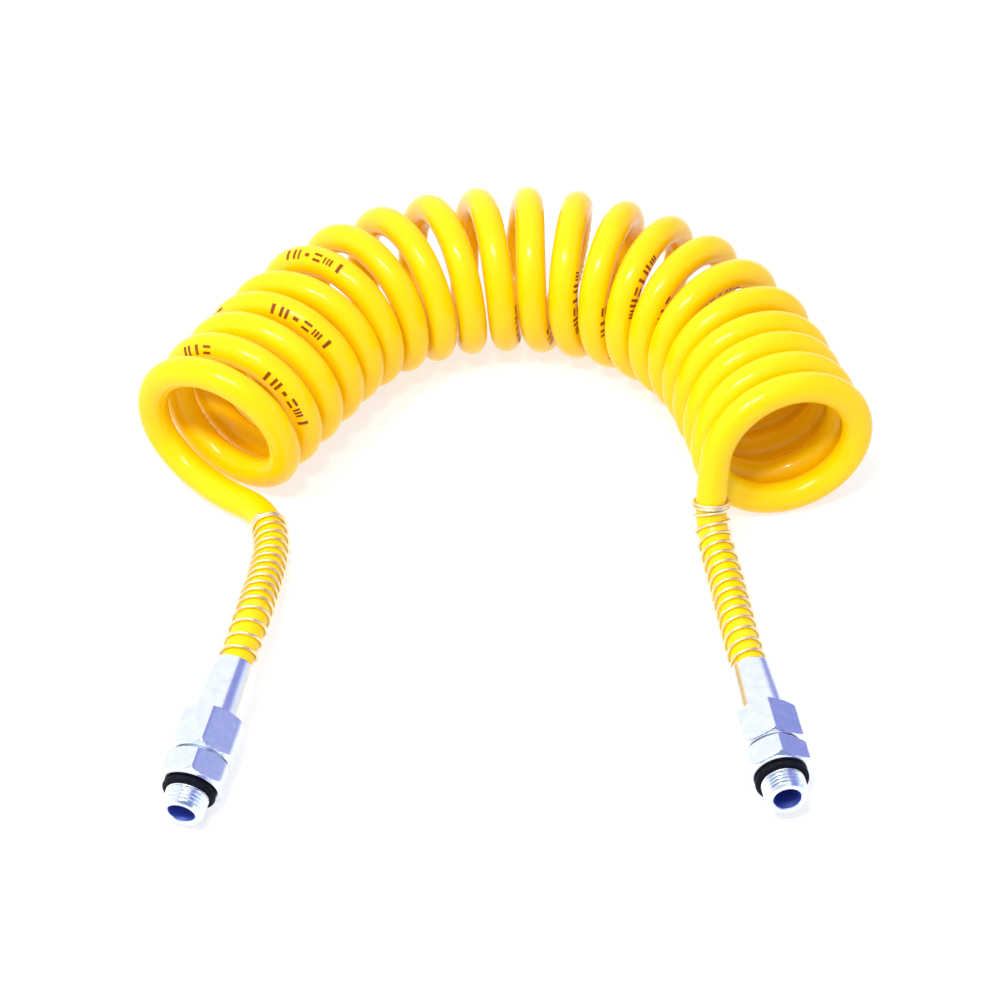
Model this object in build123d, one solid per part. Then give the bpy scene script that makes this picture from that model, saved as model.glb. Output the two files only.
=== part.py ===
from build123d import *
import math
import os

# Coiled air hose, millimetres, +Z up.  It lies on the ground as an arch: the coil's axis runs through a
# left straight end, a circular bend and a right straight end, and both tails come forward (-Y) to their
# screw fittings.  Route points are measured from the centre of the bend; ORIGIN moves the model so that
# its own origin is the middle of its footprint, on the ground.
ORIGIN = (-1.827, -28.341)

# Hose and coil
HOSE_R = 6.0
HOSE_BORE_R = 4.0
COIL_MEAN_R = 28.3
COIL_R = COIL_MEAN_R + HOSE_R
COIL_SKIN = 3.5
BEND_R = 97.3
LEFT_BEND_DEG = 59.3
RIGHT_BEND_DEG = 74.1
LEFT_STRAIGHT = 64.8
RIGHT_STRAIGHT = 52.0
END_INSET = 7.5
MIDDLE_GAP = 0.4

# Tails: from the coil's last turn forward to the fitting.  The last two points lie on the fitting's axis.
LEFT_TAIL = [
    (-137.3, 6.1, 19.1),
    (-129.6, -1.5, 10.4),
    (-114.8, -14.2, 7.5),
    (-97.8, -24.7, 7.6),
    (-93.1, -42.7, 7.9),
    (-93.9, -64.7, 11.0),
    (-95.5, -86.7, 18.5),
]
RIGHT_TAIL = [
    (80.6, -31.1, 34.3),
    (79.2, -31.3, 25.4),
    (78.2, -34.2, 16.8),
    (78.2, -40.6, 10.3),
    (79.3, -49.6, 8.0),
    (81.0, -61.6, 8.2),
    (82.9, -78.7, 10.0),
]
TAIL_BEND_AT = 84.0
TAIL_END_AT = 66.0
GUARD_FIRST_CORNER = {"left": 3, "right": 2}

# Fittings: where the threaded tip is, where the axis points from the tip to the mouth, and the roll of
# the hexagons about it.
TIP = {"left": (-116.7, -186.2, 10.3), "right": (97.0, -180.4, 12.71)}
HEADING_DEG = {"left": 13.9, "right": -8.5}
RISE_DEG = {"left": 10.4, "right": 0.0}
ROLL_DEG = {"left": 7.0, "right": 0.0}

# Stud: distances are from the tip, along the axis
PORT_THREAD_R = 8.0
PORT_THREAD_END = 7.5
PORT_LEAD = 1.0
NECK_R = 7.2
STUD_HEX_FROM = 10.5
STUD_HEX_TO = 21.5
HEX_ACROSS_FLATS = 22.0
COLLAR_R = 10.6
COLLAR_LEN = 0.8
CHAMFER_LEN = 1.3
CHAMFER_OVERRUN = 0.3
AIR_BORE_R = 5.0
SOCKET_FROM = 25.4
SOCKET_R = 6.05
NUT_THREAD_R = 9.0
NUT_RELIEF_R = 8.2
NUT_RELIEF_LEN = 1.4
STUD_END = 35.5
CONE_FROM = 32.0
CONE_MOUTH_R = 7.9
CUT_OVERRUN = 1.0

# Union nut
NUT_FROM = 22.7
NUT_HEX_TO = 39.7
NUT_TO = 64.0
NUT_THREAD_CLEARANCE = 0.08
NUT_CONE_FROM = 36.8
NUT_CONE_TO = 38.8
NUT_BORE_R = 7.65
NUT_TAIL_BASE_R = 9.6
NUT_MOUTH_R = 8.4
NUT_MOUTH_ROUND_LEN = 0.5
NUT_MOUTH_ROUND_R = 0.4
NUT_FRONT_COLLAR_LEN = 0.2
NUT_TAIL_OVERLAP = 1.0

# Pieces inside the fitting, and the spring guard
ORING_SECTION_R = 1.3
ORING_STRETCH_GAP = 0.02
ORING_COLLAR_GAP = 0.05
OLIVE_FROM = 32.6
OLIVE_TO = 38.2
OLIVE_R = 7.55
OLIVE_FRONT_CONE_LEN = 2.8
OLIVE_FRONT_WALL = 0.2
OLIVE_BACK_CONE_LEN = 1.6
OLIVE_BACK_WALL = 0.3
INSERT_TO = 42.0
INSERT_R = 3.95
INSERT_BORE_R = 3.3
INSERT_FLANGE_R = 5.8
INSERT_FLANGE_LEN = 0.8
GUARD_FROM = 41.0
GUARD_R = 7.3
GUARD_WIRE_R = 0.6
GUARD_PITCH = 6.4
GUARD_CLOSED_PITCH = 1.6
GUARD_CLOSED_TURNS = 2

# Share of the shorter run beside a corner that its arc takes up
ARC_SHARE = 0.45


def write(node, solid):
    """One STEP file for each sub-part, moved to the model's own origin."""
    placed = Pos(-ORIGIN[0], -ORIGIN[1], 0) * solid
    placed.label = node
    export_step(placed, f"parts/{node}.step")


def turned(profile):
    """A piece turned about the fitting's axis from (distance, radius) corners."""
    corners = [(radius, 0, along) for along, radius in profile]
    face = make_face(Polyline(*corners, close=True))
    return revolve(face, Axis.Z, 360)


def hexagon(start, end, front_r, front_len):
    """A hexagonal prism with a turned collar at the front and a turned chamfer at the back."""
    corner_r = HEX_ACROSS_FLATS / 2 / math.cos(math.radians(30))
    prism = extrude(RegularPolygon(corner_r, 6), end - start)
    limits = turned([
        (start, 0),
        (start, front_r),
        (start + front_len, front_r),
        (start + front_len + CHAMFER_LEN, corner_r + CHAMFER_OVERRUN),
        (end - CHAMFER_LEN / 2, corner_r + CHAMFER_OVERRUN),
        (end, HEX_ACROSS_FLATS / 2),
        (end, 0),
    ])
    return Pos(0, 0, start) * prism & limits


def stud():
    """Screw-in stud: port thread, neck for the O-ring, hexagon, nut thread, air bore and hose socket."""
    front = turned([
        (0, 0),
        (0, PORT_THREAD_R - PORT_LEAD),
        (PORT_LEAD, PORT_THREAD_R),
        (PORT_THREAD_END, PORT_THREAD_R),
        (PORT_THREAD_END, NECK_R),
        (STUD_HEX_FROM, NECK_R),
        (STUD_HEX_FROM, 0),
    ])
    rear = turned([
        (STUD_HEX_TO, 0),
        (STUD_HEX_TO, NUT_RELIEF_R),
        (STUD_HEX_TO + NUT_RELIEF_LEN, NUT_RELIEF_R),
        (STUD_HEX_TO + NUT_RELIEF_LEN, NUT_THREAD_R),
        (STUD_END, NUT_THREAD_R),
        (STUD_END, 0),
    ])
    hollow = turned([
        (-CUT_OVERRUN, 0),
        (-CUT_OVERRUN, AIR_BORE_R),
        (SOCKET_FROM, AIR_BORE_R),
        (SOCKET_FROM, SOCKET_R),
        (CONE_FROM, SOCKET_R),
        (STUD_END, CONE_MOUTH_R),
        (STUD_END + CUT_OVERRUN, CONE_MOUTH_R),
        (STUD_END + CUT_OVERRUN, 0),
    ])
    middle = hexagon(STUD_HEX_FROM, STUD_HEX_TO, COLLAR_R, COLLAR_LEN)
    return front + middle + rear - hollow


def port_oring():
    """Sealing ring on the stud's neck, against the collar."""
    ring_r = NECK_R + ORING_SECTION_R + ORING_STRETCH_GAP
    centre = STUD_HEX_FROM - ORING_SECTION_R - ORING_COLLAR_GAP
    return Pos(0, 0, centre) * Torus(ring_r, ORING_SECTION_R)


def union_nut():
    """Union nut: hexagon and tapered tail in one piece, threaded inside at the front."""
    tail = turned([
        (NUT_HEX_TO - NUT_TAIL_OVERLAP, 0),
        (NUT_HEX_TO - NUT_TAIL_OVERLAP, NUT_TAIL_BASE_R),
        (NUT_HEX_TO + NUT_TAIL_OVERLAP, NUT_TAIL_BASE_R),
        (NUT_TO - NUT_MOUTH_ROUND_LEN, NUT_MOUTH_R),
        (NUT_TO, NUT_MOUTH_R - NUT_MOUTH_ROUND_R),
        (NUT_TO, 0),
    ])
    inner_r = NUT_THREAD_R + NUT_THREAD_CLEARANCE
    hollow = turned([
        (NUT_FROM - CUT_OVERRUN, 0),
        (NUT_FROM - CUT_OVERRUN, inner_r),
        (NUT_CONE_FROM, inner_r),
        (NUT_CONE_TO, NUT_BORE_R),
        (NUT_TO + CUT_OVERRUN, NUT_BORE_R),
        (NUT_TO + CUT_OVERRUN, 0),
    ])
    front = hexagon(NUT_FROM, NUT_HEX_TO, COLLAR_R, NUT_FRONT_COLLAR_LEN)
    return front + tail - hollow


def olive():
    """Brass clamping ring round the hose, between the stud's cone and the nut's cone."""
    return turned([
        (OLIVE_FROM, SOCKET_R),
        (OLIVE_FROM, SOCKET_R + OLIVE_FRONT_WALL),
        (OLIVE_FROM + OLIVE_FRONT_CONE_LEN, OLIVE_R),
        (OLIVE_TO - OLIVE_BACK_CONE_LEN, OLIVE_R),
        (OLIVE_TO, SOCKET_R + OLIVE_BACK_WALL),
        (OLIVE_TO, SOCKET_R),
    ])


def hose_insert():
    """Flanged sleeve that backs the hose where the olive clamps it."""
    return turned([
        (SOCKET_FROM, INSERT_BORE_R),
        (SOCKET_FROM, INSERT_FLANGE_R),
        (SOCKET_FROM + INSERT_FLANGE_LEN, INSERT_FLANGE_R),
        (SOCKET_FROM + INSERT_FLANGE_LEN, INSERT_R),
        (INSERT_TO, INSERT_R),
        (INSERT_TO, INSERT_BORE_R),
    ])


def hose_end():
    """The straight end of the hose inside the fitting."""
    return turned([
        (SOCKET_FROM + INSERT_FLANGE_LEN, HOSE_BORE_R),
        (SOCKET_FROM + INSERT_FLANGE_LEN, HOSE_R),
        (TAIL_END_AT, HOSE_R),
        (TAIL_END_AT, HOSE_BORE_R),
    ])


def fitting_axis(side):
    """Unit vector from the tip to the mouth."""
    heading = math.radians(HEADING_DEG[side])
    rise = math.radians(RISE_DEG[side])
    level = math.cos(rise)
    return Vector(level * math.sin(heading), level * math.cos(heading), math.sin(rise))


def fitting_plane(side):
    """Origin at the tip, Z along the axis, X towards the hexagons' top corner."""
    along = fitting_axis(side)
    plane = Plane(TIP[side], x_dir=Vector(0, 0, 1).cross(along).cross(along) * -1, z_dir=along)
    return plane * Rot(0, 0, ROLL_DEG[side])


def route(side, points):
    """The tail's corners: those listed, then two on the fitting's axis."""
    tip = Vector(*TIP[side])
    along = fitting_axis(side)
    return [Vector(*point) for point in points] + [tip + along * TAIL_BEND_AT, tip + along * TAIL_END_AT]


def corner_radii(corners):
    """As large an arc at each corner as its two runs allow."""
    radii = []
    for before, corner, after in zip(corners, corners[1:], corners[2:]):
        shorter = min((corner - before).length, (after - corner).length)
        half_turn = math.radians((corner - before).get_angle(after - corner)) / 2
        radii.append(ARC_SHARE * shorter / math.tan(half_turn))
    return radii


def tube(path, outer_r, inner_r):
    """A tube swept along straight runs and tangent arcs."""
    section = Plane(path @ 0, z_dir=path % 0) * (Circle(outer_r) - Circle(inner_r))
    return sweep(section, path=path)


def report_tube(node, solid, path):
    """Compares the tail's volume with its section times its length."""
    expected = math.pi * (HOSE_R ** 2 - HOSE_BORE_R ** 2) * path.length
    print(f"{node}: length {path.length:.1f}, volume {solid.volume:.0f}, expected {expected:.0f}")


def spring_rings(path):
    """The spring guard as a row of rings at its pitch, closed up at the free end."""
    rings = []
    along = GUARD_WIRE_R
    while along < path.length:
        centre = path.position_at(along, PositionMode.LENGTH)
        plane = Plane(centre, z_dir=path.tangent_at(along, PositionMode.LENGTH))
        rings.append(plane * Torus(GUARD_R - GUARD_WIRE_R, GUARD_WIRE_R))
        closed = len(rings) <= GUARD_CLOSED_TURNS
        along += GUARD_CLOSED_PITCH if closed else GUARD_PITCH
    return Compound(rings)


def tail_pieces(side, points):
    """The hose from the coil to the fitting, and the spring guard round it."""
    corners = route(side, points)
    radii = corner_radii(corners)
    print(side, "tail radii", [round(radius, 1) for radius in radii])
    path = FilletPolyline(*corners, radius=radii)
    tail = tube(path, HOSE_R, HOSE_BORE_R)
    report_tube(f"hose_tail_{side}", tail, path)
    guarded = path.edges()[2 * GUARD_FIRST_CORNER[side] - 1:]
    inside = Line(corners[-1], Vector(*TIP[side]) + fitting_axis(side) * GUARD_FROM)
    return tail, spring_rings(Wire([*guarded, inside.edge()]))


def bend_point(angle_deg):
    """A point of the coil's axis on the bend; 0 is the middle of the arch and positive is to the right."""
    angle = math.radians(angle_deg)
    return Vector(BEND_R * math.sin(angle), BEND_R * math.cos(angle), COIL_R)


def coil_ring():
    """The section of the coil's envelope: a skin with the hose's own volume."""
    return Circle(COIL_R) - Circle(COIL_R - COIL_SKIN)


def coil_bend(from_deg, to_deg):
    """The coil's envelope on part of the bend."""
    start = bend_point(from_deg)
    section = Plane(start, x_dir=(0, 0, 1), z_dir=start.cross(Vector(0, 0, 1))) * coil_ring()
    return revolve(section, Axis.Z, from_deg - to_deg)


def coil_straight(at_deg, length):
    """The coil's envelope beyond an end of the bend."""
    angle = math.radians(at_deg)
    side = math.copysign(1, at_deg)
    outward = Vector(math.cos(angle), -math.sin(angle), 0) * side
    section = Plane(bend_point(at_deg), x_dir=(0, 0, 1), z_dir=outward) * coil_ring()
    return extrude(section, length, dir=outward)


def main():
    os.makedirs("parts", exist_ok=True)
    middle_deg = math.degrees(MIDDLE_GAP / 2 / BEND_R)
    write("hose_coil_left_bend", coil_bend(-LEFT_BEND_DEG, -middle_deg))
    write("hose_coil_right_bend", coil_bend(middle_deg, RIGHT_BEND_DEG))
    write("hose_coil_left_end", coil_straight(-LEFT_BEND_DEG, LEFT_STRAIGHT - END_INSET))
    write("hose_coil_right_end", coil_straight(RIGHT_BEND_DEG, RIGHT_STRAIGHT - END_INSET))
    turned_pieces = {
        "stud": stud(),
        "port_oring": port_oring(),
        "union_nut": union_nut(),
        "olive": olive(),
        "hose_insert": hose_insert(),
        "hose_end": hose_end(),
    }
    for side, points in (("left", LEFT_TAIL), ("right", RIGHT_TAIL)):
        plane = fitting_plane(side)
        for name, piece in turned_pieces.items():
            write(f"{name}_{side}", plane * piece)
        tail, guard = tail_pieces(side, points)
        write(f"hose_tail_{side}", tail)
        write(f"spring_guard_{side}", guard)


main()
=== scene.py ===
"""A coiled air hose on a pale floor: the hose, its spring guards and its screw fittings."""
import math

import bpy
import numpy as np
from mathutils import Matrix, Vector


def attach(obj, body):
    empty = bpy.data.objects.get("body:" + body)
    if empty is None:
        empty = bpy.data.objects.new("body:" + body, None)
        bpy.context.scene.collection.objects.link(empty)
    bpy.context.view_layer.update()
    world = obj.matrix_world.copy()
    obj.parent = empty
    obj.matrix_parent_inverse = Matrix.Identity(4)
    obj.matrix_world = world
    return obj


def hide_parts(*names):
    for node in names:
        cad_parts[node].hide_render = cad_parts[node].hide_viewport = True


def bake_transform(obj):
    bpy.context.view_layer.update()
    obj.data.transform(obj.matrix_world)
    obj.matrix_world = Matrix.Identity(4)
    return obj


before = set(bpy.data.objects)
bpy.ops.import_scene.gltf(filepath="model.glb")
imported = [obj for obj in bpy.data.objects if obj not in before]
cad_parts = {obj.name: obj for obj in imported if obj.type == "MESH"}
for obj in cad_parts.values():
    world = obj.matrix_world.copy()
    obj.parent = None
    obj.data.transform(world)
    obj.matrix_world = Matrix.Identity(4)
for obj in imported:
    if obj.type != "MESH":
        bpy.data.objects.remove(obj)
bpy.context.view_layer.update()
MM = 0.001
SIDES = ("left", "right")

# Every length below is in millimetres, and a piece is scaled to metres as it is made.
# Route points are measured from the centre of the arch's bend; SHIFT takes them to the model's origin.
SHIFT = np.array([1.827, 28.341, 0.0])

# Hose and coil
HOSE_R = 6.0
HOSE_BORE_R = 4.0
COIL_MEAN_R = 28.3
COIL_AXIS_HEIGHT = COIL_MEAN_R + HOSE_R
BEND_R = 97.3
LEFT_BEND_DEG = 59.3
RIGHT_BEND_DEG = 74.1
LEFT_STRAIGHT = 64.8
RIGHT_STRAIGHT = 52.0
TURNS_AT_LEFT_END = -10.340
TURNS_AT_LEFT_BEND = -5.990
TURNS_AT_RIGHT_BEND = 6.595
TURNS_AT_RIGHT_END = 10.255
POINTS_PER_TURN = 24
LINE_STEP = 1.6
HOSE_SIDES = 40
# The tops of the turns stand this far towards the left end, and the last right turn is a little wide
LEAN_AT_TURNS = ((-10.34, 7.4), (-9.3, 4.4), (-6.0, 3.0), (-2.0, 1.0), (6.0, 1.0), (10.255, 6.0))
WIDER_AT_TURNS = ((8.2, 0.0), (9.3, 1.5), (10.255, 2.5))

# Pulled, a turn opens by the square of how far the coil's axis lies along the pull, plus this much
LEAST_OPENING = 0.06

# Tails, from the coil's last turn to the fitting
LEFT_TAIL = [
    (-129.6, -1.5, 10.4),
    (-114.8, -14.2, 7.5),
    (-97.8, -24.7, 7.6),
    (-93.1, -44.3, 9.4),
    (-93.9, -68.7, 14.6),
    (-95.5, -90.2, 21.6),
]
RIGHT_TAIL = [
    (76.6, -31.3, 25.4),
    (76.4, -34.2, 16.8),
    (77.6, -40.6, 10.3),
    (79.4, -49.6, 8.0),
    (81.2, -61.6, 8.2),
    (82.9, -78.7, 10.0),
]
TAILS = {"left": LEFT_TAIL, "right": RIGHT_TAIL}
AXIS_POINTS_FROM_TIP = (84.0, 66.0, 46.0, 26.2)

# Fittings: place of the threaded tip, heading and rise of the axis from tip to mouth, and roll
TIP = {"left": (-116.7, -186.2, 10.3), "right": (97.0, -180.4, 12.71)}
HEADING_DEG = {"left": 13.9, "right": -8.5}
RISE_DEG = {"left": 10.4, "right": 0.0}
ROLL_DEG = {"left": 7.0, "right": 0.0}

# Stud and union nut: distances are from the tip along the axis, as in the CAD
PORT_THREAD_R = 8.0
PORT_THREAD_END = 7.5
PORT_LEAD = 1.0
NECK_R = 7.2
STUD_HEX_FROM = 10.5
STUD_HEX_TO = 21.5
FLAT_R = 11.0
HEX_CORNER_R = FLAT_R / math.cos(math.pi / 6)
HEX_CORNER_CUT = 0.12
HEX_CORNER_SOFTNESS = 0.08
HEX_BACK_R = FLAT_R - 0.1
CHAMFER_RISE = 1.6
COLLAR_R = 10.6
COLLAR_LEN = 0.8
NUT_COLLAR_LEN = 0.2
AIR_BORE_R = 5.0
SOCKET_FROM = 25.4
SOCKET_R = 6.05
NUT_THREAD_R = 9.0
NUT_RELIEF_R = 8.2
NUT_RELIEF_END = 22.9
CONE_FROM = 32.0
CONE_MOUTH_R = 7.9
STUD_END = 35.5
NUT_FROM = 22.7
NUT_HEX_TO = 39.7
NUT_TO = 64.0
NUT_INNER_R = 9.08
NUT_CONE_FROM = 36.8
NUT_CONE_TO = 38.8
NUT_BORE_R = 7.65
NUT_TAIL_BASE_R = 9.6
NUT_MOUTH_R = 8.4
NUT_ROOT_R = 9.15
NUT_ROOT_LEN = 0.75
THREAD_PITCH = 1.5
THREAD_DEPTH = 0.85
NUT_THREAD_DEPTH = 0.6
# Distances between the rows of a turned piece, finer on its threads
HEX_ROW_GAP = 0.22
PORT_THREAD_ROW_GAP = 0.11
NUT_THREAD_ROW_GAP = 0.13
TAIL_ROW_GAP = 0.16
INNER_THREAD_ROW_GAP = 0.14
BORE_CHAMFER = 0.3
EDGE = 0.02  # length of an almost square step between two radii
TOOL_RING_PITCH = 0.9
TOOL_RING_DEPTH = 0.03
ROUND_SIDES = 192
SHARP_FROM_DEG = 28.0

# Spring guards: the wire goes from inside the nut to a closed-up free end
GUARD_MEAN_R = 6.7
GUARD_WIRE_R = 0.6
GUARD_FROM = 41.0
GUARD_PITCH = 5.9
GUARD_CLOSED_PITCH = 1.4
GUARD_CLOSED_TURNS = 2.2
GUARD_FREE_END = {"left": (-94.8, -33.0, 7.9), "right": (76.8, -32.6, 22.0)}
GUARD_MOVES_UP_TO = 62.0
GUARD_STAYS_FROM = 82.0
GUARD_POINTS_PER_TURN = 32
GUARD_SIDES = 12
# How many of the line's points, from the hose's end, are searched for the guard's free end
GUARD_REACH = 500

# Print: four groups of plain strokes, repeated along the hose about every second turn.
# b is one bar, d two bars, s a dash, e two dashes and f three fine bars.
PRINT_REPEAT = 341.0
PRINT_FIRST = 267.0
PRINT_GROUPS = ((-60.0, "ebd"), (-34.0, "dbe"), (0.0, "bdsefb"), (92.0, "fdbedf"))
# A stroke is (start, length, height, offset across), as shares of the step and the height below
PRINT_MARKS = {
    "b": ((0.30, 0.28, 1.0, 0.0),),
    "d": ((0.05, 0.24, 1.0, 0.0), (0.52, 0.24, 1.0, 0.0)),
    "s": ((0.20, 0.42, 0.36, 0.0),),
    "e": ((0.05, 0.70, 0.26, 0.30), (0.05, 0.70, 0.26, -0.30)),
    "f": ((0.00, 0.17, 0.7, 0.0), (0.29, 0.17, 0.7, 0.0), (0.58, 0.17, 0.7, 0.0)),
}
PRINT_STEP = 4.6
PRINT_HEIGHT = 4.2
INK_SUNK = 0.08
INK_PROUD = 0.045
# The line of print turns round the hose: distance along the coil, and degrees from its outermost side
PRINT_ANGLE_AT = (
    (250.0, 55.0),
    (950.0, 32.0),
    (1250.0, -75.0),
    (2500.0, -80.0),
    (2900.0, -150.0),
    (3300.0, -235.0),
    (3700.0, -250.0),
)

# Camera
CAMERA_AT = (1.5, -870.3, 798.3)
CAMERA_AIM = (-3.6, 19.6, 0.0)
CAMERA_LENS = 108.1


def unit(v):
    return v / np.linalg.norm(v)


def fitting_axis(side):
    """Unit vector from the tip to the mouth."""
    heading = math.radians(HEADING_DEG[side])
    rise = math.radians(RISE_DEG[side])
    level = math.cos(rise)
    return np.array([level * math.sin(heading), level * math.cos(heading), math.sin(rise)])


def fitting_frame(side):
    """Tip, and the X, Y and Z directions of the fitting's own axes, as the CAD has them."""
    along = fitting_axis(side)
    top = unit(-np.cross(np.cross([0, 0, 1], along), along))
    across = np.cross(along, top)
    roll = math.radians(ROLL_DEG[side])
    x = math.cos(roll) * top + math.sin(roll) * across
    return np.array(TIP[side]) + SHIFT, x, np.cross(along, x), along


# ---------------------------------------------------------------- camera


def make_camera():
    data = bpy.data.cameras.new("camera")
    data.lens = CAMERA_LENS
    data.sensor_width = 36.0
    data.clip_start = 0.05
    data.clip_end = 20.0
    camera = bpy.data.objects.new("camera", data)
    camera.location = Vector(CAMERA_AT) * MM
    aim = Vector(CAMERA_AIM) * MM
    camera.rotation_euler = (aim - camera.location).to_track_quat("-Z", "Y").to_euler()
    bpy.context.scene.collection.objects.link(camera)
    bpy.context.scene.camera = camera


# ---------------------------------------------------------------- the hose's line


def coil_axis(along):
    """Point and heading of the coil's axis, a distance from the middle of the bend."""
    left, right = math.radians(LEFT_BEND_DEG), math.radians(RIGHT_BEND_DEG)
    angle = min(max(along / BEND_R, -left), right)
    beyond = along - angle * BEND_R
    heading = np.array([math.cos(angle), -math.sin(angle), 0.0])
    centre = np.array([BEND_R * math.sin(angle), BEND_R * math.cos(angle), COIL_AXIS_HEIGHT])
    return centre + heading * beyond, heading


def coil_along(turn):
    """Distance along the coil's axis at a count of turns."""
    left = -math.radians(LEFT_BEND_DEG) * BEND_R
    right = math.radians(RIGHT_BEND_DEG) * BEND_R
    turns = (TURNS_AT_LEFT_END, TURNS_AT_LEFT_BEND, TURNS_AT_RIGHT_BEND, TURNS_AT_RIGHT_END)
    return float(np.interp(turn, turns, (left - LEFT_STRAIGHT, left, right, right + RIGHT_STRAIGHT)))


def coil_points():
    """The helix, a little wide, because a spline passes inside its control points."""
    count = round((TURNS_AT_RIGHT_END - TURNS_AT_LEFT_END) * POINTS_PER_TURN) + 1
    radius = COIL_MEAN_R / math.cos(math.pi / POINTS_PER_TURN)
    points = []
    for turn in np.linspace(TURNS_AT_LEFT_END, TURNS_AT_RIGHT_END, count):
        centre, heading = coil_axis(coil_along(turn))
        inward = np.array([heading[1], -heading[0], 0.0])
        phase = 2 * math.pi * turn
        lean = np.interp(turn, *zip(*LEAN_AT_TURNS)) * (1 + math.cos(phase)) / 2
        wide = radius + np.interp(turn, *zip(*WIDER_AT_TURNS))
        place = centre - lean * heading + wide * math.sin(phase) * inward
        points.append(place + radius * math.cos(phase) * np.array([0, 0, 1]))
    return points


def tail_points(side):
    """Route points from the coil down to the hose's end inside the fitting."""
    tip = np.array(TIP[side])
    in_fitting = [tip + fitting_axis(side) * d for d in AXIS_POINTS_FROM_TIP]
    return [np.array(p) for p in TAILS[side]] + in_fitting


def read_line(points):
    """The smooth line of a NURBS spline with these control points, in millimetres."""
    data = bpy.data.curves.new("hose_route", "CURVE")
    data.dimensions = "3D"
    data.resolution_u = 6
    spline = data.splines.new("NURBS")
    spline.points.add(len(points) - 1)
    for point, place in zip(spline.points, points):
        point.co = (*(place + SHIFT) * MM, 1.0)
    spline.order_u = 3
    spline.use_endpoint_u = True
    holder = bpy.data.objects.new("hose_route", data)
    bpy.context.scene.collection.objects.link(holder)
    bpy.context.view_layer.update()
    mesh = bpy.data.meshes.new_from_object(holder.evaluated_get(bpy.context.evaluated_depsgraph_get()))
    line = np.array([v.co for v in mesh.vertices]) / MM
    bpy.data.meshes.remove(mesh)
    bpy.data.objects.remove(holder)
    return line


def distances(line):
    return np.concatenate([[0.0], np.cumsum(np.linalg.norm(np.diff(line, axis=0), axis=1))])


def at_distance(table, along, distance):
    """A row of a table of vectors, read between its rows at a distance along the line."""
    return np.array([np.interp(distance, along, table[:, k]) for k in range(3)])


def resampled(line):
    """Evenly spaced points on a line."""
    along = distances(line)
    wanted = np.linspace(0, along[-1], max(2, round(along[-1] / LINE_STEP) + 1))
    return np.stack([np.interp(wanted, along, line[:, k]) for k in range(3)], axis=1)


def tail_length(side):
    points = tail_points(side)
    if side == "left":
        points = points[::-1]
    return distances(resampled(read_line(points)))[-1]


def carried_frames(line):
    """Tangent and two normals at each point, carried along without twist."""
    tangent = np.gradient(line, axis=0)
    tangent /= np.linalg.norm(tangent, axis=1)[:, None]
    first = unit(np.cross(tangent[0], [0.0, 0.0, 1.0]))
    normals = [first]
    for t in tangent[1:]:
        normals.append(unit(normals[-1] - t * (normals[-1] @ t)))
    normals = np.array(normals)
    return tangent, normals, np.cross(tangent, normals)


# ---------------------------------------------------------------- meshes


def new_piece(name, vertices, faces, smooth=True):
    """A mesh object from millimetre vertices."""
    mesh = bpy.data.meshes.new(name)
    mesh.from_pydata((np.asarray(vertices) * MM).tolist(), [], faces)
    mesh.polygons.foreach_set("use_smooth", [smooth] * len(mesh.polygons))
    mesh.update()
    piece = bpy.data.objects.new(name, mesh)
    bpy.context.scene.collection.objects.link(piece)
    return piece


def grid_faces(rows, columns, start=0, flip=False):
    """Quads between rings of points, closed round the columns."""
    faces = []
    for i in range(rows - 1):
        for j in range(columns):
            k = (j + 1) % columns
            a, b = start + i * columns, start + (i + 1) * columns
            quad = (a + j, a + k, b + k, b + j)
            faces.append(quad[::-1] if flip else quad)
    return faces


def rings(line, radius, sides):
    tangent, normal, other = carried_frames(line)
    angle = np.linspace(0, 2 * math.pi, sides, endpoint=False)
    circle = np.cos(angle)[None, :, None] * normal[:, None] + np.sin(angle)[None, :, None] * other[:, None]
    return (line[:, None] + radius * circle).reshape(-1, 3)


def tube_piece(name, line, outer_r, inner_r, sides):
    """A real tube: outer wall, inner wall and a flat ring at each end."""
    rows = len(line)
    outer, inner = rings(line, outer_r, sides), rings(line, inner_r, sides)
    offset = rows * sides
    faces = grid_faces(rows, sides) + grid_faces(rows, sides, offset, flip=True)
    for row, flip in ((0, True), (rows - 1, False)):
        for j in range(sides):
            k = (j + 1) % sides
            quad = (row * sides + j, row * sides + k, offset + row * sides + k, offset + row * sides + j)
            faces.append(quad[::-1] if flip else quad)
    return new_piece(name, np.vstack([outer, inner]), faces)


def blend_by(piece, shares):
    """Bakes the piece's placing into its mesh; its shares for each vertex, 0 to 1, are not used."""
    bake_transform(piece)
    shares = np.asarray(shares).astype(np.float32)


def blend_halves(piece, shares):
    blend_by(piece, shares)


make_camera()
ROUTE = tail_points("left")[::-1] + coil_points() + tail_points("right")
HOSE_LINE = resampled(read_line(ROUTE))
HOSE_ALONG = distances(HOSE_LINE)
COIL_START = tail_length("left")
COIL_END = HOSE_ALONG[-1] - tail_length("right")
COIL_HOSE = COIL_END - COIL_START
hose = tube_piece("hose", HOSE_LINE, HOSE_R, HOSE_BORE_R, HOSE_SIDES)


def turn_at(distance):
    """Count of turns at a distance along the hose."""
    return np.interp(distance, (COIL_START, COIL_END), (TURNS_AT_LEFT_END, TURNS_AT_RIGHT_END))


def ring_weights():
    """How far each ring goes with the right half of the coil when it is pulled, 0 to 1.
    The turns open most where the coil's axis lies along the pull, and the tails don't open."""
    share = np.zeros(len(HOSE_LINE))
    for i in np.nonzero((HOSE_ALONG > COIL_START) & (HOSE_ALONG < COIL_END))[0]:
        share[i] = LEAST_OPENING + coil_axis(coil_along(turn_at(HOSE_ALONG[i])))[1][0] ** 2
    weight = np.concatenate([[0.0], np.cumsum((share[1:] + share[:-1]) / 2 * np.diff(HOSE_ALONG))])
    return weight / weight[-1]


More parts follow.
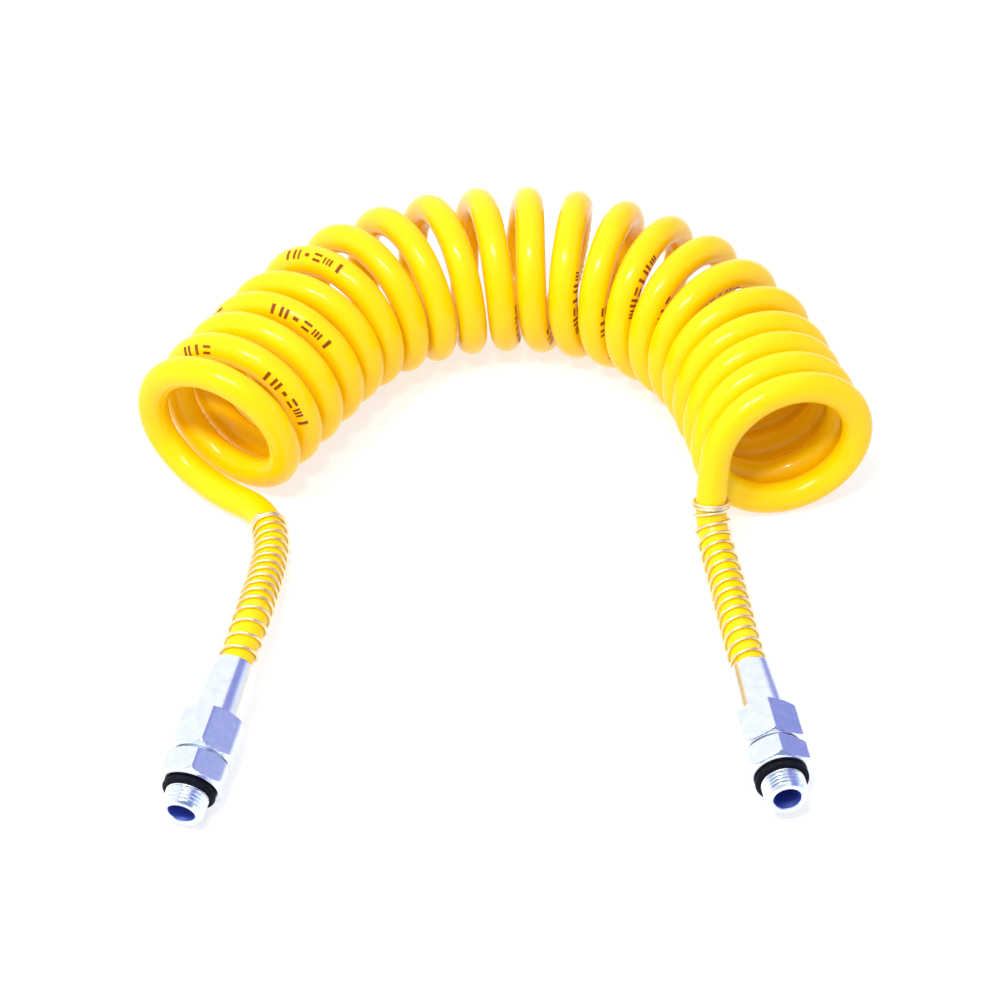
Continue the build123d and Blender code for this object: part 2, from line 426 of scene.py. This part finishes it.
HOSE_WEIGHTS = ring_weights()
blend_halves(hose, np.tile(np.repeat(HOSE_WEIGHTS, HOSE_SIDES), 2))
HOSE_NODES = ["hose_coil_left_bend", "hose_coil_left_end", "hose_coil_right_bend", "hose_coil_right_end"]
HOSE_NODES += [f"hose_{part}_{side}" for side in SIDES for part in ("tail", "end")]
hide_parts(*HOSE_NODES)

# ---------------------------------------------------------------- print on the hose


def print_marks():
    """Plain bars and dashes where the real hose carries print. They stand for no letters."""
    tangent = carried_frames(HOSE_LINE)[0]
    vertices, faces, weights = [], [], []

    def surface(distance, angle, lift):
        """A point on the hose, an angle round from the side that faces away from the coil's axis."""
        centre = at_distance(HOSE_LINE, HOSE_ALONG, distance)
        k = min(int(np.searchsorted(HOSE_ALONG, distance)), len(HOSE_ALONG) - 1)
        outward = centre - coil_axis(coil_along(turn_at(distance)))[0] - SHIFT
        outward = unit(outward - tangent[k] * (outward @ tangent[k]))
        sideways = np.cross(tangent[k], outward)
        return centre + (HOSE_R + lift) * (math.cos(angle) * outward + math.sin(angle) * sideways)

    def patch(start, length, angle, height):
        """A slab of ink, sunk a little into the hose."""
        base = len(vertices)
        columns, rows = 5, 4
        half = height / 2 / HOSE_R
        for lift in (-INK_SUNK, INK_PROUD):
            for a in np.linspace(angle - half, angle + half, rows):
                for d in np.linspace(start, start + length, columns):
                    vertices.append(surface(d, a, lift))
                    weights.append(np.interp(d, HOSE_ALONG, HOSE_WEIGHTS))
        count = columns * rows
        for r in range(rows - 1):
            for c in range(columns - 1):
                a = base + r * columns + c
                faces.append((a, a + columns, a + columns + 1, a + 1))
                faces.append((count + a, count + a + 1, count + a + columns + 1, count + a + columns))
        edge = [(r, 0) for r in range(rows)]
        edge += [(rows - 1, c) for c in range(1, columns)]
        edge += [(r, columns - 1) for r in range(rows - 2, -1, -1)]
        edge += [(0, c) for c in range(columns - 2, 0, -1)]
        loop = [base + r * columns + c for r, c in edge]
        for a, b in zip(loop, loop[1:] + loop[:1]):
            faces.append((a, a + count, b + count, b))

    first = PRINT_FIRST
    while first < COIL_HOSE:
        for offset, group in PRINT_GROUPS:
            for number, mark in enumerate(group):
                where = COIL_START + first + offset + number * PRINT_STEP
                if not COIL_START < where < COIL_END - PRINT_STEP:
                    continue
                turned = math.radians(np.interp(where - COIL_START, *zip(*PRINT_ANGLE_AT)))
                for begin, length, share, across in PRINT_MARKS[mark]:
                    angle = turned + across * PRINT_HEIGHT / HOSE_R
                    patch(where + begin * PRINT_STEP, length * PRINT_STEP, angle, PRINT_HEIGHT * share)
        first += PRINT_REPEAT
    marks = new_piece("print_marks", vertices, faces, smooth=False)
    blend_halves(marks, weights)
    return marks


# ---------------------------------------------------------------- spring guards


def spring_guard(side):
    """One wire wound round the tail, from inside the nut to its closed-up free end."""
    line = HOSE_LINE if side == "left" else HOSE_LINE[::-1]
    line = line[:GUARD_REACH]
    along = distances(line)
    hose_end = AXIS_POINTS_FROM_TIP[-1]
    start = GUARD_FROM - hose_end
    free = np.array(GUARD_FREE_END[side]) + SHIFT
    end = along[int(np.argmin(np.linalg.norm(line - free, axis=1)))]
    normal, other = carried_frames(line)[1:]
    closed_len = GUARD_CLOSED_TURNS * GUARD_CLOSED_PITCH
    open_turns = (end - closed_len - start) / GUARD_PITCH
    knots = (0.0, open_turns, open_turns + GUARD_CLOSED_TURNS)
    turns = np.linspace(0, knots[-1], int(knots[-1] * GUARD_POINTS_PER_TURN))
    places = np.interp(turns, knots, (start, end - closed_len, end))
    wire = []
    for turn, place in zip(turns, places):
        angle = 2 * math.pi * turn
        across = math.cos(angle) * at_distance(normal, along, place)
        across = across + math.sin(angle) * at_distance(other, along, place)
        wire.append(at_distance(line, along, place) + GUARD_MEAN_R * across)
    points = rings(np.array(wire), GUARD_WIRE_R, GUARD_SIDES)
    faces = grid_faces(len(wire), GUARD_SIDES)
    faces.append(tuple(range(GUARD_SIDES))[::-1])
    faces.append(tuple(range(len(points) - GUARD_SIDES, len(points))))
    guard = new_piece(f"guard_wire_{side}", points, faces)
    share = np.interp(places + hose_end, (GUARD_MOVES_UP_TO, GUARD_STAYS_FROM), (1.0, 0.0))
    blend_by(guard, np.repeat(share, GUARD_SIDES))
    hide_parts(f"spring_guard_{side}")
    return guard


# ---------------------------------------------------------------- fittings

THETA = np.linspace(0, 2 * math.pi, ROUND_SIDES, endpoint=False)


def hexagon_radius(theta):
    """Distance from the axis to the hexagon's side, with slightly rounded corners."""
    from_flat = theta % (math.pi / 3) - math.pi / 6
    sharp = FLAT_R / np.cos(from_flat)
    corner = HEX_CORNER_R - HEX_CORNER_CUT
    soft = HEX_CORNER_SOFTNESS
    return -soft * np.log(np.exp(-sharp / soft) + np.exp(-corner / soft))


def thread_radius(u, theta, crest, start, end, depth=THREAD_DEPTH):
    """A right-handed thread that runs out at both ends of its length."""
    phase = (u / THREAD_PITCH - theta / (2 * math.pi)) % 1.0
    wave = np.clip(np.abs(phase - 0.5) * 2 * 1.25 - 0.125, 0, 1)
    fade = np.clip(min(u - start, end - u) / (0.5 * THREAD_PITCH), 0, 1)
    return crest - depth * wave * fade


def steps(start, end, gap):
    """Places from start to end, about a gap apart."""
    return np.linspace(start, end, max(2, round(abs(end - start) / gap) + 1))


def ring_solid(name, side, rows):
    """A closed piece turned round its fitting's axis.
    Its rows are (distance, radius at each angle) and go round its section as a loop."""
    count = len(rows)
    points = []
    for u, radius in rows:
        radius = np.broadcast_to(radius, THETA.shape)
        level = np.full(ROUND_SIDES, u)
        points.append(np.stack([radius * np.cos(THETA), radius * np.sin(THETA), level], axis=1))
    points = np.vstack(points)
    faces = grid_faces(count, ROUND_SIDES, flip=True)
    last = (count - 1) * ROUND_SIDES
    for j in range(ROUND_SIDES):
        k = (j + 1) % ROUND_SIDES
        faces.append((j, last + j, last + k, k))
    tip, x, y, along = fitting_frame(side)
    piece = new_piece(name, tip + points @ np.array([x, y, along]), faces)
    piece.data.set_sharp_from_angle(angle=math.radians(SHARP_FROM_DEG))
    own = piece.data.attributes.new("lathe", "FLOAT_VECTOR", "POINT")
    own.data.foreach_set("vector", (points * MM).astype(np.float32).ravel())
    return piece


def fit(piece, body, node):
    """Lets a fitting's piece ride on a body and stand for a CAD node."""
    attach(piece, body)
    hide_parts(node)
    return piece


def hexagon_rows(start, end, collar_len):
    """A hexagon with a turned collar in front and the curved chamfers that a turned cone leaves."""
    rows = []
    flats = hexagon_radius(THETA)
    for u in steps(start, end, HEX_ROW_GAP):
        front = COLLAR_R + max(0.0, u - start - collar_len) * CHAMFER_RISE
        back = HEX_BACK_R + (end - u) * CHAMFER_RISE
        rows.append((u, np.minimum(flats, min(front, back, HEX_CORNER_R))))
    return rows


def stud(side):
    """The screw-in half: port thread, neck, hexagon, nut thread, cone, hose socket and air bore."""
    rows = [(0.0, AIR_BORE_R + BORE_CHAMFER), (0.0, PORT_THREAD_R - PORT_LEAD)]
    for u in steps(0.05, PORT_THREAD_END, PORT_THREAD_ROW_GAP):
        lead = PORT_THREAD_R - PORT_LEAD + u
        thread = thread_radius(u, THETA, PORT_THREAD_R, 0.0, PORT_THREAD_END)
        rows.append((u, np.minimum(thread, lead)))
    rows += [(PORT_THREAD_END + EDGE, NECK_R), (STUD_HEX_FROM, NECK_R)]
    rows += hexagon_rows(STUD_HEX_FROM + EDGE / 2, STUD_HEX_TO, COLLAR_LEN)
    rows += [(STUD_HEX_TO + EDGE / 2, NUT_RELIEF_R), (NUT_RELIEF_END, NUT_RELIEF_R)]
    for u in steps(NUT_RELIEF_END + EDGE, STUD_END - EDGE, NUT_THREAD_ROW_GAP):
        rows.append((u, thread_radius(u, THETA, NUT_THREAD_R, NUT_RELIEF_END, STUD_END)))
    rows += [(STUD_END, NUT_THREAD_R - 0.3), (STUD_END, CONE_MOUTH_R), (CONE_FROM, SOCKET_R)]
    rows += [(SOCKET_FROM, SOCKET_R), (SOCKET_FROM - EDGE / 2, AIR_BORE_R), (BORE_CHAMFER, AIR_BORE_R)]
    return fit(ring_solid(f"stud_body_{side}", side, rows), f"coil_{side}", f"stud_{side}")


def union_nut(side):
    """The nut: hexagon, root groove, tapered tail with faint tool rings, and its bore and thread."""
    rows = hexagon_rows(NUT_FROM, NUT_HEX_TO, NUT_COLLAR_LEN)
    rows += [(NUT_HEX_TO + EDGE / 2, NUT_ROOT_R), (NUT_HEX_TO + NUT_ROOT_LEN, NUT_ROOT_R)]
    for u in steps(NUT_HEX_TO + NUT_ROOT_LEN + 0.05, NUT_TO - 0.5, TAIL_ROW_GAP):
        share = max(0.0, (u - NUT_HEX_TO - 1) / (NUT_TO - NUT_HEX_TO - 1.5))
        taper = NUT_TAIL_BASE_R + (NUT_MOUTH_R - NUT_TAIL_BASE_R) * share
        groove = 0.5 - 0.5 * math.cos(2 * math.pi * (u - NUT_HEX_TO) / TOOL_RING_PITCH)
        rows.append((u, taper - TOOL_RING_DEPTH * groove ** 3))
    rows += [(NUT_TO - 0.15, NUT_MOUTH_R - 0.12), (NUT_TO, NUT_MOUTH_R - 0.4)]
    rows.append((NUT_TO, NUT_BORE_R + 0.15))
    rows += [(NUT_TO - 0.2, NUT_BORE_R), (NUT_CONE_TO, NUT_BORE_R), (NUT_CONE_FROM, NUT_INNER_R)]
    for u in steps(NUT_CONE_FROM - 0.2, NUT_FROM + BORE_CHAMFER, INNER_THREAD_ROW_GAP):
        ridge = thread_radius(u, THETA, NUT_INNER_R, NUT_FROM, NUT_CONE_FROM, NUT_THREAD_DEPTH)
        rows.append((u, 2 * NUT_INNER_R - ridge))
    rows.append((NUT_FROM, NUT_INNER_R + 0.35))
    return fit(ring_solid(f"nut_body_{side}", side, rows), f"nut_{side}", f"union_nut_{side}")


# ---------------------------------------------------------------- materials


class Nodes:
    """Short calls for building a material's nodes."""

    def __init__(self, name):
        self.material = bpy.data.materials.new(name)
        self.material.use_nodes = True
        self.tree = self.material.node_tree
        self.shader = self.tree.nodes["Principled BSDF"]

    def set(self, **values):
        for key, value in values.items():
            self.shader.inputs[key.replace("_", " ")].default_value = value

    def add(self, kind, **values):
        node = self.tree.nodes.new(kind)
        for key, value in values.items():
            if hasattr(node, key):
                setattr(node, key, value)
            else:
                node.inputs[key.replace("_", " ")].default_value = value
        return node

    def link(self, source, target):
        self.tree.links.new(source, target)

    def noise(self, scale, detail=4.0, roughness=0.5, stretch=None, lathe=False):
        if lathe:
            where = self.add("ShaderNodeAttribute", attribute_name="lathe").outputs["Vector"]
        else:
            where = self.add("ShaderNodeTexCoord").outputs["Object"]
        if stretch:
            mapping = self.add("ShaderNodeMapping")
            mapping.inputs["Scale"].default_value = stretch
            self.link(where, mapping.inputs["Vector"])
            where = mapping.outputs["Vector"]
        node = self.add("ShaderNodeTexNoise")
        node.inputs["Scale"].default_value = scale
        node.inputs["Detail"].default_value = detail
        node.inputs["Roughness"].default_value = roughness
        self.link(where, node.inputs["Vector"])
        return node.outputs["Fac"]

    def ramp(self, factor, stops):
        node = self.add("ShaderNodeValToRGB")
        elements = node.color_ramp.elements
        while len(elements) < len(stops):
            elements.new(0.5)
        for element, (position, color) in zip(elements, stops):
            element.position = position
            element.color = (*color, 1.0)
        self.link(factor, node.inputs["Fac"])
        return node.outputs["Color"]

    def spread(self, factor, low, high):
        """A noise value widened to go from low to high."""
        node = self.add("ShaderNodeMapRange")
        node.inputs["From Min"].default_value = 0.3
        node.inputs["From Max"].default_value = 0.7
        node.inputs["To Min"].default_value = low
        node.inputs["To Max"].default_value = high
        self.link(factor, node.inputs["Value"])
        return node.outputs["Result"]

    def near_axis(self, inner, outer):
        """1 inside a radius round the piece's own axis, 0 beyond a larger one."""
        own = self.add("ShaderNodeAttribute", attribute_name="lathe").outputs["Vector"]
        flat = self.add("ShaderNodeVectorMath", operation="MULTIPLY")
        flat.inputs[1].default_value = (1.0, 1.0, 0.0)
        self.link(own, flat.inputs[0])
        radius = self.add("ShaderNodeVectorMath", operation="LENGTH")
        self.link(flat.outputs["Vector"], radius.inputs[0])
        node = self.add("ShaderNodeMapRange")
        node.inputs["From Min"].default_value = inner
        node.inputs["From Max"].default_value = outer
        node.inputs["To Min"].default_value = 1.0
        node.inputs["To Max"].default_value = 0.0
        self.link(radius.outputs["Value"], node.inputs["Value"])
        return node.outputs["Result"]

    def mix_colour(self, factor, a, b):
        node = self.add("ShaderNodeMix", data_type="RGBA")
        self.link(factor, node.inputs["Factor"])
        self.link(a, node.inputs[6])
        node.inputs[7].default_value = (*b, 1.0)
        return node.outputs[2]

    def mix_value(self, factor, a, b):
        node = self.add("ShaderNodeMix", data_type="FLOAT")
        self.link(factor, node.inputs["Factor"])
        self.link(a, node.inputs[2])
        node.inputs[3].default_value = b
        return node.outputs[0]

    def bump(self, height, strength, distance, under=None):
        node = self.add("ShaderNodeBump")
        node.inputs["Strength"].default_value = strength
        node.inputs["Distance"].default_value = distance
        self.link(height, node.inputs["Height"])
        if under:
            self.link(under, node.inputs["Normal"])
        return node.outputs["Normal"]


def hose_material():
    """Yellow polyurethane: glossy, slightly translucent, with faint flow marks and handling haze."""
    m = Nodes("hose_polyurethane")
    colour = m.ramp(m.noise(22, 3), [(0.30, (1.0, 0.59, 0.0)), (0.70, (1.0, 0.655, 0.002))])
    m.link(colour, m.shader.inputs["Base Color"])
    m.link(m.spread(m.noise(180, 5, 0.6), 0.14, 0.26), m.shader.inputs["Roughness"])
    m.set(IOR=1.5, Specular_IOR_Level=0.26, Subsurface_Weight=0.2, Subsurface_Scale=0.004)
    m.shader.inputs["Subsurface Radius"].default_value = (1.0, 0.7, 0.05)
    fine = m.bump(m.noise(900, 3), 0.10, 0.0001)
    m.link(m.bump(m.noise(120, 2), 0.18, 0.0003, fine), m.shader.inputs["Normal"])
    return m.material


def zinc_material():
    """Blue-white zinc on turned steel: cloudy plating, fine tool lines round the axis, and painted blue
    shade in the air bore.
    """
    m = Nodes("zinc_plated_steel")
    cloud = m.ramp(m.noise(260, 4, lathe=True), [(0.30, (0.74, 0.81, 0.92)), (0.70, (0.86, 0.90, 0.96))])
    # Painted shade: the metal inside the air bore is coloured darker blue and made rougher
    inside = m.near_axis((AIR_BORE_R + 0.02) * MM, (AIR_BORE_R + 0.1) * MM)
    m.link(m.mix_colour(inside, cloud, (0.16, 0.24, 0.75)), m.shader.inputs["Base Color"])
    m.set(Metallic=1.0)
    haze = m.spread(m.noise(700, 5, 0.6, lathe=True), 0.12, 0.25)
    m.link(m.mix_value(inside, haze, 0.6), m.shader.inputs["Roughness"])
    lines = m.bump(m.noise(60, 3, 0.5, (1, 1, 60), lathe=True), 0.10, 0.0001)
    m.link(m.bump(m.noise(420, 3, lathe=True), 0.04, 0.0002, lines), m.shader.inputs["Normal"])
    return m.material


def wire_material():
    m = Nodes("spring_wire")
    tone = m.ramp(m.noise(400, 3), [(0.30, (0.86, 0.70, 0.40)), (0.70, (0.99, 0.88, 0.60))])
    m.link(tone, m.shader.inputs["Base Color"])
    m.set(Metallic=1.0)
    m.link(m.spread(m.noise(1200, 4), 0.24, 0.40), m.shader.inputs["Roughness"])
    m.link(m.bump(m.noise(2500, 2), 0.10, 0.00005), m.shader.inputs["Normal"])
    return m.material


def rubber_material():
    m = Nodes("black_nitrile")
    tone = m.ramp(m.noise(500, 3), [(0.30, (0.003, 0.003, 0.006)), (0.70, (0.010, 0.009, 0.018))])
    m.link(tone, m.shader.inputs["Base Color"])
    m.set(Specular_IOR_Level=0.06)
    m.link(m.spread(m.noise(900, 4), 0.45, 0.60), m.shader.inputs["Roughness"])
    m.link(m.bump(m.noise(3000, 3), 0.15, 0.00005), m.shader.inputs["Normal"])
    return m.material


def brass_material():
    m = Nodes("turned_brass")
    tone = m.ramp(m.noise(500, 3), [(0.30, (0.62, 0.42, 0.16)), (0.70, (0.86, 0.66, 0.32))])
    m.link(tone, m.shader.inputs["Base Color"])
    m.set(Metallic=1.0)
    m.link(m.spread(m.noise(900, 4), 0.20, 0.36), m.shader.inputs["Roughness"])
    m.link(m.bump(m.noise(1500, 2), 0.10, 0.00005), m.shader.inputs["Normal"])
    return m.material


def ink_material():
    m = Nodes("print_ink")
    tone = m.ramp(m.noise(1500, 4, 0.7), [(0.30, (0.12, 0.018, 0.003)), (0.70, (0.40, 0.10, 0.006))])
    m.link(tone, m.shader.inputs["Base Color"])
    m.set(Specular_IOR_Level=0.15)
    m.link(m.spread(m.noise(800, 3), 0.30, 0.50), m.shader.inputs["Roughness"])
    return m.material


def paint(piece, material):
    piece.data.materials.clear()
    piece.data.materials.append(material)


# ---------------------------------------------------------------- stage and light


def floor_material():
    m = Nodes("studio_paper")
    tone = m.ramp(m.noise(3, 3), [(0.30, (0.36, 0.36, 0.36)), (0.70, (0.38, 0.38, 0.38))])
    m.link(tone, m.shader.inputs["Base Color"])
    m.set(Roughness=0.9, Emission_Strength=0.66)
    m.shader.inputs["Emission Color"].default_value = (1.0, 1.0, 1.0, 1.0)
    m.link(m.bump(m.noise(600, 3), 0.05, 0.0001), m.shader.inputs["Normal"])
    return m.material


# Metres from the middle of the floor to its sides: out of sight in a view from 15 degrees up
FLOOR_HALF = 25.0


def make_floor():
    data = bpy.data.meshes.new("floor")
    half = FLOOR_HALF
    corners = [(-half, -half, 0), (half, -half, 0), (half, half, 0), (-half, half, 0)]
    data.from_pydata(corners, [], [(0, 1, 2, 3)])
    floor = bpy.data.objects.new("floor", data)
    bpy.context.scene.collection.objects.link(floor)
    paint(floor, floor_material())


# Studio walls by their X direction: white, a blue band on the right, then pale again
WORLD_BANDS = (
    (0.40, (1.0, 1.0, 1.0)),
    (0.50, (0.27, 0.29, 0.66)),
    (0.79, (0.30, 0.32, 0.70)),
    (0.88, (0.80, 0.86, 1.0)),
)
# The front of the studio, by its -Y direction, is darker towards its middle
FRONT_BAND = ((0.72, (1.0, 1.0, 1.0)), (0.88, (0.22, 0.30, 0.48)))
WORLD_STRENGTH = 1.12


def colour_bands(tree, factor, bands):
    """A colour ramp in the world's nodes, with its stops set."""
    ramp = tree.nodes.new("ShaderNodeValToRGB")
    elements = ramp.color_ramp.elements
    while len(elements) < len(bands):
        elements.new(0.5)
    for element, (position, colour) in zip(elements, bands):
        element.position = position
        element.color = (*colour, 1.0)
    tree.links.new(factor, ramp.inputs["Fac"])
    return ramp.outputs["Color"]


def make_world():
    """A white studio with one blue band and a darker front for the metal to reflect."""
    world = bpy.data.worlds.new("studio")
    bpy.context.scene.world = world
    world.use_nodes = True
    tree = world.node_tree
    background = tree.nodes["Background"]
    direction = tree.nodes.new("ShaderNodeTexCoord")
    split = tree.nodes.new("ShaderNodeSeparateXYZ")
    tree.links.new(direction.outputs["Generated"], split.inputs["Vector"])
    forward = tree.nodes.new("ShaderNodeMath")
    forward.operation = "MULTIPLY"
    forward.inputs[1].default_value = -1.0
    tree.links.new(split.outputs["Y"], forward.inputs[0])
    both = tree.nodes.new("ShaderNodeMix")
    both.data_type = "RGBA"
    both.blend_type = "MULTIPLY"
    both.inputs["Factor"].default_value = 1.0
    tree.links.new(colour_bands(tree, split.outputs["X"], WORLD_BANDS), both.inputs[6])
    tree.links.new(colour_bands(tree, forward.outputs["Value"], FRONT_BAND), both.inputs[7])
    tree.links.new(both.outputs[2], background.inputs["Color"])
    background.inputs["Strength"].default_value = WORLD_STRENGTH


def softbox(name, place, size, power):
    """A square soft light aimed at the model's origin, in metres and watts."""
    data = bpy.data.lights.new(name, "AREA")
    data.shape = "RECTANGLE"
    data.size = size
    data.size_y = size
    data.energy = power
    lamp = bpy.data.objects.new(name, data)
    lamp.location = place
    lamp.rotation_euler = (-Vector(place)).to_track_quat("-Z", "Y").to_euler()
    bpy.context.scene.collection.objects.link(lamp)


# ---------------------------------------------------------------- the object's pieces

yellow = hose_material()
zinc = zinc_material()
wire = wire_material()
rubber = rubber_material()
brass = brass_material()
paint(hose, yellow)
paint(print_marks(), ink_material())
for side in SIDES:
    paint(spring_guard(side), wire)
    paint(stud(side), zinc)
    paint(union_nut(side), zinc)
    paint(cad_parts[f"port_oring_{side}"], rubber)
    paint(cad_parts[f"olive_{side}"], brass)
    paint(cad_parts[f"hose_insert_{side}"], brass)

make_floor()
make_world()
softbox("key", (-0.45, -0.55, 1.3), size=0.14, power=9)
softbox("second", (-0.10, -0.60, 1.3), size=0.12, power=6)
bpy.context.scene.view_settings.view_transform = "Standard"
